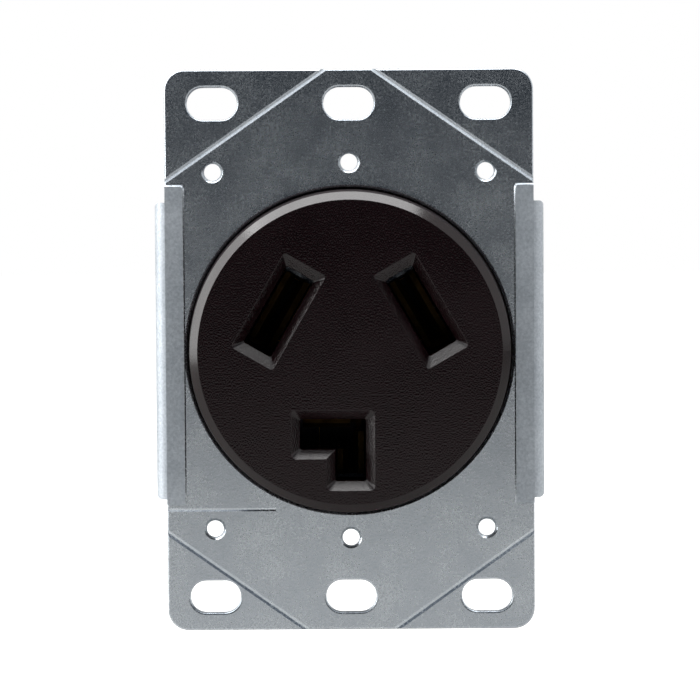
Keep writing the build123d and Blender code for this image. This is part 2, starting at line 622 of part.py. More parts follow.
def pressure_plate():
    """The plate that the screw presses on the wire."""
    half = LUG_WINDOW_HALF - PLATE_SIDE_GAP
    plate = block(PLATE_INNER_R, PLATE_OUTER_R, LUG_FRONT + PLATE_END_GAP, LUG_BACK - PLATE_END_GAP,
                  -half, half)
    plate = fillet(plate.edges().filter_by(Axis.X), LUG_CORNER_R)
    return plate - spoke(TERMINAL_PIN_R + THREAD_GAP, PLATE_INNER_R, PLATE_OUTER_R, LUG_MIDDLE)


def terminal_screw():
    """A slotted set screw, with a pin that turns in the pressure plate."""
    screw = spoke(TERMINAL_SCREW_R, PLATE_OUTER_R, TERMINAL_SCREW_END, LUG_MIDDLE)
    screw = chamfer(screw.edges().filter_by(GeomType.CIRCLE), TERMINAL_SCREW_EDGE)
    screw += spoke(TERMINAL_PIN_R, PLATE_INNER_R + CLEARANCE, PLATE_OUTER_R, LUG_MIDDLE)
    half = TERMINAL_DRIVE_WIDTH / 2
    drive_start = TERMINAL_SCREW_END - TERMINAL_DRIVE_DEPTH
    return screw - block(drive_start, TERMINAL_SCREW_END, LUG_FRONT, LUG_BACK, -half, half)


def assembly_screw():
    """A slotted pan-head screw along Y, with its head at the back."""
    screw = rod(ASSEMBLY_SCREW_R, HEAD_SEAT - ASSEMBLY_SCREW_LENGTH, HEAD_SEAT)
    screw = chamfer(screw.edges().group_by(Axis.Y)[0], ASSEMBLY_POINT)
    back = HEAD_SEAT + ASSEMBLY_HEAD_HEIGHT
    head = rod(ASSEMBLY_HEAD_R, HEAD_SEAT, back)
    head = fillet(head.edges().group_by(Axis.Y)[-1], ASSEMBLY_HEAD_EDGE_R)
    half = ASSEMBLY_DRIVE_WIDTH / 2
    drive = block(-ASSEMBLY_HEAD_R, ASSEMBLY_HEAD_R, back - ASSEMBLY_DRIVE_DEPTH, back, -half, half)
    return screw + head - drive


def assembly():
    """Every piece by its name."""
    pieces = {
        "mounting_strap": mounting_strap(),
        "face_body": face_body(),
        "rear_housing": rear_housing(),
    }
    for name, place in TERMINALS.items():
        neutral = name == "neutral"
        pieces[name + "_contact"] = place(neutral_contact() if neutral else hot_contact())
        pieces[name + "_contact_spring"] = place(neutral_spring() if neutral else hot_spring())
        pieces[name + "_insulator"] = place(insulator())
        pieces[name + "_terminal_lug"] = place(terminal_lug())
        pieces[name + "_pressure_plate"] = place(pressure_plate())
        pieces[name + "_terminal_screw"] = place(terminal_screw())
    for number, place in enumerate(assembly_places(), start=1):
        pieces[f"assembly_screw_{number}"] = place * assembly_screw()
    return pieces


os.makedirs("parts", exist_ok=True)
for node, solid in assembly().items():
    export_step(solid, f"parts/{node}.step")
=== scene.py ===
# A three-slot dryer outlet on its steel mounting strap. The mechanical model holds every piece at its
# real size and place. This file gives each piece its finish, and makes the screws with their threads
# and the pressure plates with their teeth. Metres: +Z is up, and the face looks along -Y.
import json
from math import ceil, pi, radians

import bpy
from mathutils import Matrix, Vector


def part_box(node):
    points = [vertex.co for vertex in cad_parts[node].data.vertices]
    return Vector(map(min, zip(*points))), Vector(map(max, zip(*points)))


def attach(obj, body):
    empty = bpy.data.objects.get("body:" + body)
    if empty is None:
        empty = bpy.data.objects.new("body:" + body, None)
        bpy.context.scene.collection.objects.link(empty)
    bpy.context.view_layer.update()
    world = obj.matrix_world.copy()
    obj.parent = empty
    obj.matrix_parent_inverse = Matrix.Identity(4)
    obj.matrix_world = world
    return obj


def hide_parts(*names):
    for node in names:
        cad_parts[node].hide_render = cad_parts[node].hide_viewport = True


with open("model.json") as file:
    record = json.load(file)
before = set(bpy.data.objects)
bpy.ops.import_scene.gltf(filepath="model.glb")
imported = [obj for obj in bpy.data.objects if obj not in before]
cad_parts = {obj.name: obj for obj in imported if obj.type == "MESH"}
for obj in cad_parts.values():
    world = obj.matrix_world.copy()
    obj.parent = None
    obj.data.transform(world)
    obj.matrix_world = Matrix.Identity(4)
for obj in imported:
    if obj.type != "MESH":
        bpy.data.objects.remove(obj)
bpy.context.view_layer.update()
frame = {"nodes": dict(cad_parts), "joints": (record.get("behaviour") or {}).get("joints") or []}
nodes = frame["nodes"]
MM = 0.001


# Mounting strap: cold-rolled steel sheet, pressed, scored and bent, then zinc plated. The plating
# leaves a fine crystal grain with soft clouds in it, and handling has left a few light scratches.
# Its sheared edges are rolled a little by the die, so a thin pale line runs round them.
def linear(code):
    """An sRGB hex colour as the linear colour that a socket holds."""
    shares = [int(code[start:start + 2], 16) / 255 for start in (1, 3, 5)]
    curve = [share / 12.92 if share <= 0.04045 else ((share + 0.055) / 1.055) ** 2.4 for share in shares]
    return (*curve, 1.0)


def add(tree, kind, values=None, links=None, **settings):
    """One node, with its settings, the values on its sockets, and what feeds its sockets."""
    node = tree.nodes.new("ShaderNode" + kind)
    for name, setting in settings.items():
        setattr(node, name, setting)
    for socket, value in (values or {}).items():
        node.inputs[socket].default_value = value
    for socket, source in (links or {}).items():
        tree.links.new(source, node.inputs[socket])
    return node


def new_material(name):
    """An empty material and its node tree."""
    material = bpy.data.materials.new(name)
    material.use_nodes = True
    material.node_tree.nodes.clear()
    return material, material.node_tree


def finish_with(material, names):
    """The named frame pieces take this material and keep their slot."""
    for name in names:
        for place in nodes[name].material_slots:
            place.material = material


# The plating's crystals are finer than this: 0.42 mm is as coarse as they must be drawn to show
PLATING_GRAIN = 0.42 * MM
PLATING_CLOUD = 9 * MM
CLOUD_SHARE = 0.45
TONE_LOW, TONE_HIGH = 0.25, 0.75
GLOSS_SPREAD = 0.12
GRAIN_RELIEF = 0.008 * MM
TUMBLED_R = 0.08 * MM


def grained_metal(name, dark, light, rough, wear=None):
    """A plated or heat-treated metal, grained and clouded. Wear changes its colour and roughness."""
    material, tree = new_material(name)
    place = add(tree, "TexCoord").outputs["Object"]
    grain = add(tree, "TexNoise", {"Scale": 1 / PLATING_GRAIN, "Detail": 1.5, "Roughness": 0.6},
                {"Vector": place}).outputs[0]
    cloud = add(tree, "TexNoise", {"Scale": 1 / PLATING_CLOUD, "Detail": 4.0, "Roughness": 0.6},
                {"Vector": place}).outputs[0]
    tone = add(tree, "Mix", {0: CLOUD_SHARE}, {2: grain, 3: cloud}).outputs[0]
    shade = add(tree, "MapRange", {"From Min": TONE_LOW, "From Max": TONE_HIGH}, {"Value": tone}).outputs[0]
    colour = add(tree, "Mix", {6: linear(dark), 7: linear(light)}, {0: shade}, data_type="RGBA").outputs[2]
    gloss = add(tree, "MapRange", {"From Min": TONE_LOW, "From Max": TONE_HIGH, "To Min": rough,
                                   "To Max": rough + GLOSS_SPREAD}, {"Value": tone}).outputs[0]
    relief = add(tree, "Bump", {"Distance": GRAIN_RELIEF}, {"Height": grain})
    if wear:
        colour, gloss = wear(tree, place, colour, gloss)
    else:
        # The edges of small pieces are tumbled round
        tumbled = add(tree, "Bevel", {"Radius": TUMBLED_R}, samples=6)
        tree.links.new(tumbled.outputs[0], relief.inputs["Normal"])
    metal = add(tree, "BsdfPrincipled", {"Metallic": 1.0},
                {"Base Color": colour, "Roughness": gloss, "Normal": relief.outputs[0]})
    add(tree, "OutputMaterial", links={"Surface": metal.outputs[0]})
    return material


# Each set of scratches: its lean from upright in degrees, a mark's width and length, and its threshold
SCRATCHES = ((3, 0.5 * MM, 20 * MM, 0.74), (-52, 0.5 * MM, 9 * MM, 0.745), (38, 0.5 * MM, 12 * MM, 0.75))
SCRATCH_RANGE = 0.02
SCRATCH_SHARE = 0.25
STRIP_INNER_X = 28.2 * MM
STRIP_MIDDLE_Z = 1.0 * MM
STRIP_HALF_Z = 27.0 * MM
STRIP_FADE = 0.2 * MM
STRIP_DULLER = 0.32
EDGE_Y = -1.1 * MM
EDGE_FADE = 0.15 * MM
EDGE_DULLER = 0.3
FLANGE_X = 31.2 * MM


def strap_wear(tree, place, colour, gloss):
    """The scratches, and the duller metal of the raised strips and of the edges."""
    for lean, width, reach, level in SCRATCHES:
        turned = add(tree, "Mapping", {"Rotation": (0, radians(lean), 0), "Scale": (width, 1, reach)},
                     {"Vector": place}, vector_type="TEXTURE")
        lines = add(tree, "TexNoise", {"Scale": 1.0, "Detail": 1.0}, {"Vector": turned.outputs[0]})
        mark = add(tree, "MapRange", {"From Min": level, "From Max": level + SCRATCH_RANGE,
                                      "To Max": SCRATCH_SHARE}, {"Value": lines.outputs[0]})
        colour = add(tree, "Mix", {7: linear("#E4E7EA")}, {0: mark.outputs[0], 6: colour},
                     data_type="RGBA").outputs[2]
    # The press tool leaves the raised strips at the sides duller than the sheet
    spot = add(tree, "SeparateXYZ", links={0: place})
    across = add(tree, "Math", links={0: spot.outputs[0]}, operation="ABSOLUTE").outputs[0]
    along = add(tree, "Math", {1: STRIP_MIDDLE_Z}, {0: spot.outputs[2]}, operation="SUBTRACT")
    along = add(tree, "Math", links={0: along.outputs[0]}, operation="ABSOLUTE").outputs[0]
    wide = add(tree, "MapRange", {"From Min": STRIP_INNER_X - STRIP_FADE, "From Max": STRIP_INNER_X},
               {"Value": across}).outputs[0]
    high = add(tree, "MapRange", {"From Min": STRIP_HALF_Z + STRIP_FADE, "From Max": STRIP_HALF_Z},
               {"Value": along}).outputs[0]
    strip = add(tree, "Math", links={0: wide, 1: high}, operation="MULTIPLY").outputs[0]
    gloss = add(tree, "Math", {1: STRIP_DULLER}, {0: strip, 2: gloss}, operation="MULTIPLY_ADD").outputs[0]
    # So are its edges and the mouths of its holes, behind its front plane and inside its flanges
    deep = add(tree, "MapRange", {"From Min": EDGE_Y, "From Max": EDGE_Y + EDGE_FADE},
               {"Value": spot.outputs[1]}).outputs[0]
    sheet = add(tree, "Math", {1: FLANGE_X}, {0: across}, operation="LESS_THAN").outputs[0]
    edge = add(tree, "Math", links={0: deep, 1: sheet}, operation="MULTIPLY").outputs[0]
    gloss = add(tree, "Math", {1: EDGE_DULLER}, {0: edge, 2: gloss}, operation="MULTIPLY_ADD").outputs[0]
    return colour, gloss


strap_zinc = grained_metal("zinc plated strap steel", "#A6AFB7", "#E3E8ED", 0.2, strap_wear)
finish_with(strap_zinc, ["mounting_strap"])


# Face: black thermosetting compound, moulded in a die with an eroded matt texture. It reads as a very
# dark warm grey, with a fine even grain that breaks up a soft sheen.
GRIT = 0.2 * MM
# Light from above shows only slopes up and down, so the grain is drawn taller than wide to look even
GRIT_TALL = 0.32 * MM
FLOW = 14 * MM
GRIT_SHARE = 0.75
FLOW_GLOSS = 0.08
RIM_FADE = 0.2 * MM
RIM_GRIT = 0.3
WALL_FADE = 0.1 * MM
WALL_DULLER = 0.45
MOULDED_R = 0.18 * MM


def moulded_black(name, dark, light, rough, shine, grit_height, rim_r, wall_r):
    """Moulded thermoset: grit of 0.2 mm, as coarse as it must be to show, and the marks of its flow."""
    material, tree = new_material(name)
    place = add(tree, "TexCoord").outputs["Object"]
    stretched = add(tree, "Mapping", {"Scale": (1 / GRIT, 1 / GRIT, 1 / GRIT_TALL)}, {"Vector": place})
    grit = add(tree, "TexNoise", {"Scale": 1.0, "Detail": 0.0}, {"Vector": stretched.outputs[0]}).outputs[0]
    flow = add(tree, "TexNoise", {"Scale": 1 / FLOW, "Detail": 3.0, "Distortion": 0.6},
               {"Vector": place}).outputs[0]
    mottle = add(tree, "Mix", {0: GRIT_SHARE}, {2: flow, 3: grit}).outputs[0]
    spread = add(tree, "MapRange", {"From Min": 0.38, "From Max": 0.66}, {"Value": mottle}).outputs[0]
    colour = add(tree, "Mix", {6: linear(dark), 7: linear(light)}, {0: spread}, data_type="RGBA").outputs[2]
    gloss = add(tree, "MapRange", {"From Min": 0.35, "From Max": 0.65, "To Min": rough,
                                   "To Max": rough + FLOW_GLOSS}, {"Value": flow}).outputs[0]
    # The die's turned rim is smoother than its eroded middle, and the drafted wall behind it is duller
    flat = add(tree, "Mapping", {"Scale": (1, 0, 1)}, {"Vector": place})
    radius = add(tree, "VectorMath", links={0: flat.outputs[0]}, operation="LENGTH").outputs["Value"]
    strength = add(tree, "MapRange", {"From Min": rim_r, "From Max": rim_r + RIM_FADE,
                                      "To Min": 1.0, "To Max": RIM_GRIT}, {"Value": radius}).outputs[0]
    wall = add(tree, "MapRange", {"From Min": wall_r, "From Max": wall_r + WALL_FADE,
                                  "To Max": WALL_DULLER}, {"Value": radius}).outputs[0]
    gloss = add(tree, "Math", links={0: gloss, 1: wall}, operation="ADD").outputs[0]
    softened = add(tree, "Bevel", {"Radius": MOULDED_R}, samples=6)
    relief = add(tree, "Bump", {"Distance": grit_height},
                 {"Height": grit, "Strength": strength, "Normal": softened.outputs[0]})
    plastic = add(tree, "BsdfPrincipled", {"IOR": 1.5, "Specular IOR Level": shine},
                  {"Base Color": colour, "Roughness": gloss, "Normal": relief.outputs[0]})
    add(tree, "OutputMaterial", links={"Surface": plastic.outputs[0]})
    return material


FACE_RIM_R = 25.3 * MM
FACE_WALL_R = 26.75 * MM
face_black = moulded_black("black moulded thermoset", "#0E0405", "#1B0A0E", 0.15, 0.36, 0.024 * MM,
                           FACE_RIM_R, FACE_WALL_R)
finish_with(face_black, ["face_body"])


# Rear housing: the same compound from a plainer die. It is never seen once the outlet is in its box,
# so it is left as it comes, a little greyer and duller than the face, and with no turned rim.
PAST_HOUSING_R = 40 * MM
housing_black = moulded_black("black moulded housing", "#0C0A0B", "#252022", 0.42, 0.5, 0.04 * MM,
                              PAST_HOUSING_R, PAST_HOUSING_R)
finish_with(housing_black, ["rear_housing"])


# Contacts and terminal lugs: the contacts are folded from half-hard brass strip, and the lugs are cut
# from drawn brass bar. Both are tumbled, which leaves fine marks, and have browned in places.
TUMBLE_MARK = 0.15 * MM
BROWN_PATCH = 5 * MM
BROWN_DULLER = 0.16
MARK_RELIEF = 0.006 * MM
BRASS_EDGE_R = 0.12 * MM


def brass(name, fresh, browned, rough):
    """Brass: a warm metal with tumbling marks, and duller browned patches."""
    material, tree = new_material(name)
    place = add(tree, "TexCoord").outputs["Object"]
    marks = add(tree, "TexNoise", {"Scale": 1 / TUMBLE_MARK, "Detail": 2.0}, {"Vector": place}).outputs[0]
    patches = add(tree, "TexNoise", {"Scale": 1 / BROWN_PATCH, "Detail": 5.0, "Roughness": 0.6},
                  {"Vector": place}).outputs[0]
    brown = add(tree, "MapRange", {"From Min": 0.42, "From Max": 0.7}, {"Value": patches}).outputs[0]
    colour = add(tree, "Mix", {6: linear(fresh), 7: linear(browned)}, {0: brown}, data_type="RGBA").outputs[2]
    gloss = add(tree, "MapRange", {"To Min": rough, "To Max": rough + BROWN_DULLER},
                {"Value": brown}).outputs[0]
    softened = add(tree, "Bevel", {"Radius": BRASS_EDGE_R}, samples=4)
    relief = add(tree, "Bump", {"Strength": 0.4, "Distance": MARK_RELIEF},
                 {"Height": marks, "Normal": softened.outputs[0]})
    metal = add(tree, "BsdfPrincipled", {"Metallic": 1.0},
                {"Base Color": colour, "Roughness": gloss, "Normal": relief.outputs[0]})
    add(tree, "OutputMaterial", links={"Surface": metal.outputs[0]})
    return material


TERMINALS = ("left", "right", "neutral")
# The contacts' brass is painted much darker than the lugs' brass. This is painted shade, so that the contacts
# read black deep inside the slots.
slot_shaded_strip_brass = brass("rolled brass strip with painted shade", "#57431F", "#2F210C", 0.5)
finish_with(slot_shaded_strip_brass, [name + "_contact" for name in TERMINALS])
bar_brass = brass("drawn brass bar", "#D2AE66", "#9F7A41", 0.28)
finish_with(bar_brass, [name + "_terminal_lug" for name in TERMINALS])


# Contact springs: clips bent from steel strip, hardened, and pushed over the leaves of each contact.
# The heat treatment has left them blue grey, and they are lightly oiled.
spring_steel = grained_metal("oiled spring steel", "#5C6066", "#7F8489", 0.2)
finish_with(spring_steel, [name + "_contact_spring" for name in TERMINALS])


# Insulators: plates punched from vulcanised fibre, a dense pressed paper. It is matt, charcoal grey,
# and mottled by its felted fibres.
FELT = 0.5 * MM
FELT_RELIEF = 0.03 * MM


def vulcanised_fibre(name):
    material, tree = new_material(name)
    place = add(tree, "TexCoord").outputs["Object"]
    felt = add(tree, "TexNoise", {"Scale": 1 / FELT, "Detail": 5.0, "Distortion": 1.5},
               {"Vector": place}).outputs[0]
    colour = add(tree, "Mix", {6: linear("#2A2725"), 7: linear("#45403C")}, {0: felt}, data_type="RGBA")
    relief = add(tree, "Bump", {"Strength": 0.5, "Distance": FELT_RELIEF}, {"Height": felt})
    board = add(tree, "BsdfPrincipled", {"Roughness": 0.72, "IOR": 1.5},
                {"Base Color": colour.outputs[2], "Normal": relief.outputs[0]})
    add(tree, "OutputMaterial", links={"Surface": board.outputs[0]})
    return material


finish_with(vulcanised_fibre("vulcanised fibre"), [name + "_insulator" for name in TERMINALS])


# Pressure plates: small squares of plated steel that bear on the wire. Their wire side is pressed with
# rows of teeth across the wire, and a hole lets the screw's pin turn in them.
def deselect_all():
    if bpy.context.mode != "OBJECT":
        bpy.ops.object.mode_set(mode="OBJECT")
    bpy.ops.object.select_all(action="DESELECT")


def edit(piece, picked):
    """Opens a piece for editing with only the vertices that picked chooses selected."""
    deselect_all()
    piece.select_set(True)
    bpy.context.view_layer.objects.active = piece
    bpy.ops.object.mode_set(mode="EDIT")
    bpy.ops.mesh.select_mode(type="VERT")
    bpy.ops.mesh.select_all(action="DESELECT")
    bpy.ops.object.mode_set(mode="OBJECT")
    for vertex in piece.data.vertices:
        vertex.select = picked(vertex.co)
    bpy.ops.object.mode_set(mode="EDIT")


def cut_with(piece, tool, operation="DIFFERENCE"):
    """Cuts a piece with a tool shape, or joins the two, and throws the tool away."""
    deselect_all()
    bpy.context.view_layer.objects.active = piece
    step = piece.modifiers.new("cut", "BOOLEAN")
    step.operation, step.object, step.solver = operation, tool, "EXACT"
    bpy.ops.object.modifier_apply(modifier=step.name)
    bpy.data.objects.remove(tool)


def seat(piece, along, place):
    """Turns a piece drawn up Z so that it points along a direction, moves it, and applies both."""
    deselect_all()
    turn = along.to_track_quat("Z", "Y").to_matrix().to_4x4()
    piece.matrix_world = Matrix.Translation(place) @ turn
    piece.select_set(True)
    bpy.context.view_layer.objects.active = piece
    bpy.ops.object.transform_apply(location=True, rotation=True, scale=True)


def terminal_axis(name):
    """A terminal's outward direction, and the point where its axis meets the outlet's own axis."""
    turn = next(joint for joint in frame["joints"] if joint["name"] == name + "_screw_turn")
    return -Vector(turn["axis"]), Vector((0, turn["pos_m"][1], 0))


# The neutral terminal's spoke points straight down, so its pieces' boxes give radii on the spoke
plate_low, plate_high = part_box("neutral_pressure_plate")
screw_low, screw_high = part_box("neutral_terminal_screw")
PLATE_INNER, PLATE_OUTER = -plate_high[2], -plate_low[2]
PLATE_WIDTH, PLATE_LENGTH = plate_high[0] - plate_low[0], plate_high[1] - plate_low[1]
PIN_INNER, SCREW_OUTER = -screw_high[2], -screw_low[2]
SCREW_R = (screw_high[0] - screw_low[0]) / 2
PIN_R = 1.5 * MM
PIN_HOLE_R = PIN_R + 0.05 * MM
PIN_SIDES = 40
TEETH = 8
TOOTH_DEPTH = 0.35 * MM


def pressure_plate(name):
    """A plate drawn flat, its teeth at the bottom, with the pin's hole through it."""
    thickness = PLATE_OUTER - PLATE_INNER
    deselect_all()
    bpy.ops.mesh.primitive_grid_add(x_subdivisions=3, y_subdivisions=2 * TEETH, size=1)
    plate = bpy.context.object
    plate.name = name
    plate.scale = (PLATE_WIDTH, PLATE_LENGTH, 1)
    bpy.ops.object.transform_apply(location=False, rotation=False, scale=True)
    pitch = PLATE_LENGTH / (2 * TEETH)
    edit(plate, lambda spot: round((spot.y + PLATE_LENGTH / 2) / pitch) % 2 == 0)
    bpy.ops.transform.translate(value=(0, 0, TOOTH_DEPTH))
    edit(plate, lambda spot: True)
    bpy.ops.mesh.extrude_region_move(TRANSFORM_OT_translate={"value": (0, 0, thickness)})
    bpy.ops.object.mode_set(mode="OBJECT")
    for vertex in plate.data.vertices:
        if vertex.select:
            vertex.co.z = thickness
    edit(plate, lambda spot: True)
    bpy.ops.mesh.normals_make_consistent(inside=False)
    deselect_all()
    bpy.ops.mesh.primitive_cylinder_add(vertices=PIN_SIDES, radius=PIN_HOLE_R, depth=4 * thickness)
    cut_with(plate, bpy.context.object)
    return plate


plate_zinc = grained_metal("zinc plated plate steel", "#9A9FA4", "#C6CACC", 0.3)
for name in TERMINALS:
    outward, foot = terminal_axis(name)
    plate = pressure_plate(name + "_toothed_plate")
    seat(plate, outward, foot + outward * PLATE_INNER)
    plate.data.materials.append(plate_zinc)
    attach(plate, name + "_plate")
    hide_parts(name + "_pressure_plate")


# Terminal screws: slotted set screws with a 0.9 mm thread, turned down at the tip to a pin that the
# pressure plate hangs on. The two line screws are brass, and the neutral one is nickel plated steel.
THREAD_STEPS = 36
THREAD_DEPTH = 0.6
TERMINAL_PITCH = 0.907 * MM
# Each taper is its reach along the screw and the share by which the end is thinner
TIP_TAPER = (0.6 * MM, 0.12)
DRIVEN_TAPER = (0.5 * MM, 0.1)
PIN_ROOT = 0.5 * MM
# Each drive slot is its width and its depth
TERMINAL_DRIVE = (1.2 * MM, 1.7 * MM)


def threaded_bar(name, crest_r, root_r, pitch, start, end):
    """A thread wound up Z from one V-shaped line, then cut flat at both ends."""
    deselect_all()
    bpy.ops.mesh.primitive_circle_add(vertices=3, radius=crest_r)
    bar = bpy.context.object
    bar.name = name
    points = bar.data.vertices
    points[0].co = (root_r, 0, start - 1.5 * pitch)
    points[1].co = (crest_r, 0, start - pitch)
    points[2].co = (root_r, 0, start - 0.5 * pitch)
    edit(bar, lambda spot: spot.x < (crest_r + root_r) / 2)
    bpy.ops.mesh.select_mode(type="EDGE")
    bpy.ops.mesh.delete(type="EDGE")
    deselect_all()
    bpy.context.view_layer.objects.active = bar
    winding = bar.modifiers.new("thread", "SCREW")
    winding.angle, winding.steps, winding.render_steps = 2 * pi, THREAD_STEPS, THREAD_STEPS
    winding.screw_offset, winding.iterations = pitch, ceil((end - start) / pitch) + 2
    bpy.ops.object.modifier_apply(modifier=winding.name)
    edit(bar, lambda spot: True)
    bpy.ops.mesh.remove_doubles(threshold=0.001 * MM)
    for height, upward in ((start, -1), (end, 1)):
        bpy.ops.mesh.select_all(action="SELECT")
        bpy.ops.mesh.bisect(plane_co=(0, 0, height), plane_no=(0, 0, upward), use_fill=True, clear_outer=True)
    bpy.ops.mesh.select_all(action="SELECT")
    bpy.ops.mesh.normals_make_consistent(inside=False)
    bpy.ops.object.mode_set(mode="OBJECT")
    return bar


def taper_end(bar, height, reach, share):
    """Draws a bar's end in towards its axis, as a start chamfer is turned."""
    for vertex in bar.data.vertices:
        depth = 1 - min(abs(vertex.co.z - height) / reach, 1)
        vertex.co.x *= 1 - share * depth
        vertex.co.y *= 1 - share * depth


def drive_slot(bar, width, depth, top, reach):
    """Saws the screwdriver slot across a screw's end."""
    deselect_all()
    bpy.ops.mesh.primitive_cube_add(size=1, location=(0, 0, top))
    saw = bpy.context.object
    saw.scale = (reach, width, 2 * depth)
    bpy.ops.object.transform_apply(location=True, rotation=True, scale=True)
    cut_with(bar, saw)


def terminal_screw(name):
    """A set screw drawn up Z, at its radii on its spoke, with its pin below its thread."""
    root_r = SCREW_R - THREAD_DEPTH * TERMINAL_PITCH
    screw = threaded_bar(name, SCREW_R, root_r, TERMINAL_PITCH, PLATE_OUTER, SCREW_OUTER)
    taper_end(screw, PLATE_OUTER, *TIP_TAPER)
    taper_end(screw, SCREW_OUTER, *DRIVEN_TAPER)
    deselect_all()
    length = PLATE_OUTER + PIN_ROOT - PIN_INNER
    bpy.ops.mesh.primitive_cylinder_add(vertices=PIN_SIDES, radius=PIN_R, depth=length,
                                        location=(0, 0, PIN_INNER + length / 2))
    pin = bpy.context.object
    bpy.ops.object.transform_apply(location=True, rotation=True, scale=True)
    cut_with(screw, pin, "UNION")
    drive_slot(screw, *TERMINAL_DRIVE, SCREW_OUTER, 3 * SCREW_R)
    return screw


screw_brass = brass("turned brass", "#DDBA72", "#B08A4C", 0.2)
screw_nickel = grained_metal("nickel plated steel", "#A8A59C", "#CFCCC4", 0.18)
for name in TERMINALS:
    outward, foot = terminal_axis(name)
    screw = terminal_screw(name + "_set_screw")
    seat(screw, outward, foot)
    neutral = name == "neutral"
    screw.data.materials.append(screw_nickel if neutral else screw_brass)
    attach(screw, name + "_screw")
    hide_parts(name + "_terminal_screw")


# Assembly screws: slotted pan-head steel screws with a coarse rolled thread, zinc plated. They go in
# from the back and pull the two mouldings together. Their thread stops short of the head.
ASSEMBLY_PITCH = 0.794 * MM
ASSEMBLY_R = 1.75 * MM
ASSEMBLY_TAPER = (0.9 * MM, 0.25)
ASSEMBLY_DRIVE = (0.9 * MM, 1.1 * MM)
PLAIN_NECK = 2.4 * MM
# The neck is this much thicker than the thread's root, and overlaps the thread by as much
NECK_LAP = 0.1 * MM
NECK_SIDES = 48
HEAD_HEIGHT = 2.2 * MM
HEAD_ROUND = HEAD_HEIGHT / 2.6
HEAD_SIDES = 64


def assembly_screw(name, head_r, length):
    """A pan-head screw drawn up Z from its tip, with its slotted head at the top."""
    root_r = ASSEMBLY_R - THREAD_DEPTH * ASSEMBLY_PITCH
    shank = length - HEAD_HEIGHT
    head_middle = shank + HEAD_HEIGHT / 2
    screw = threaded_bar(name, ASSEMBLY_R, root_r, ASSEMBLY_PITCH, 0, shank - PLAIN_NECK)
    taper_end(screw, 0, *ASSEMBLY_TAPER)
    deselect_all()
    neck_length = PLAIN_NECK + HEAD_HEIGHT / 2 + NECK_LAP
    bpy.ops.mesh.primitive_cylinder_add(vertices=NECK_SIDES, radius=root_r + NECK_LAP, depth=neck_length,
                                        location=(0, 0, head_middle - neck_length / 2))
    bpy.ops.object.transform_apply(location=True, rotation=True, scale=True)
    cut_with(screw, bpy.context.object, "UNION")
    deselect_all()
    bpy.ops.mesh.primitive_cylinder_add(vertices=HEAD_SIDES, radius=head_r, depth=HEAD_HEIGHT,
                                        location=(0, 0, head_middle))
    head = bpy.context.object
    bpy.ops.object.transform_apply(location=True, rotation=True, scale=True)
    edit(head, lambda spot: spot.z > head_middle)
    bpy.ops.mesh.bevel(offset=HEAD_ROUND, segments=6, affect="EDGES")
    bpy.ops.object.mode_set(mode="OBJECT")
    cut_with(screw, head, "UNION")
    drive_slot(screw, *ASSEMBLY_DRIVE, length, 3 * head_r)
    return screw


screw_zinc = grained_metal("zinc plated screw steel", "#9DA2A5", "#CDD1D3", 0.22)
for number in (1, 2, 3):
    low, high = (Vector(corner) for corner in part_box(f"assembly_screw_{number}"))
    middle = (low + high) / 2
    screw = assembly_screw(f"assembly_screw_threaded_{number}", (high.x - low.x) / 2, high.y - low.y)
    seat(screw, Vector((0, 1, 0)), Vector((middle.x, low.y, middle.z)))
    screw.data.materials.append(screw_zinc)
    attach(screw, "outlet")
    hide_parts(f"assembly_screw_{number}")


# Floor: white studio paper below the outlet. It gives the camera a little of its own white, so that it
# reads white and still holds a soft shadow.
FLOOR_Z = -75 * MM
FLOOR_SIZE = 8
PAPER_GLOW = 0.85
deselect_all()
bpy.ops.mesh.primitive_plane_add(size=FLOOR_SIZE, location=(0, 0, FLOOR_Z))
floor = bpy.context.object
floor.name = "studio_floor"
floor_white, tree = new_material("white studio paper")
path = add(tree, "LightPath")
paper = add(tree, "BsdfDiffuse", {"Color": linear("#C0BFBD")})
glow = add(tree, "Emission", {"Color": linear("#FFFFFF"), "Strength": PAPER_GLOW})
bright = add(tree, "AddShader", links={0: paper.outputs[0], 1: glow.outputs[0]})
mixed = add(tree, "MixShader", links={0: path.outputs["Is Camera Ray"], 1: paper.outputs[0],
                                      2: bright.outputs[0]})
add(tree, "OutputMaterial", links={"Surface": mixed.outputs[0]})
floor.data.materials.append(floor_white)


# Grey card: it lies on the floor in front of the outlet. Only mirrored rays see it, so it throws no
# shadow. The flanks of the score lines that face down mirror it, and read darker than those that face up.
GREY_CARD_NEAR = -50 * MM
GREY_CARD_DEPTH = 90 * MM
GREY_CARD_WIDTH = 600 * MM
GREY_CARD_LIFT = 1 * MM
deselect_all()
bpy.ops.mesh.primitive_plane_add(size=1, location=(0, GREY_CARD_NEAR - GREY_CARD_DEPTH / 2,
                                                   FLOOR_Z + GREY_CARD_LIFT))
grey_card = bpy.context.object
grey_card.name = "studio_grey_card"
grey_card.scale = (GREY_CARD_WIDTH, GREY_CARD_DEPTH, 1)
bpy.ops.object.transform_apply(location=True, rotation=True, scale=True)
card_paper, tree = new_material("grey studio card")
grey = add(tree, "BsdfDiffuse", {"Color": linear("#9C9C9C")})
add(tree, "OutputMaterial", links={"Surface": grey.outputs[0]})
grey_card.data.materials.append(card_paper)
grey_card.visible_camera = grey_card.visible_diffuse = grey_card.visible_shadow = False


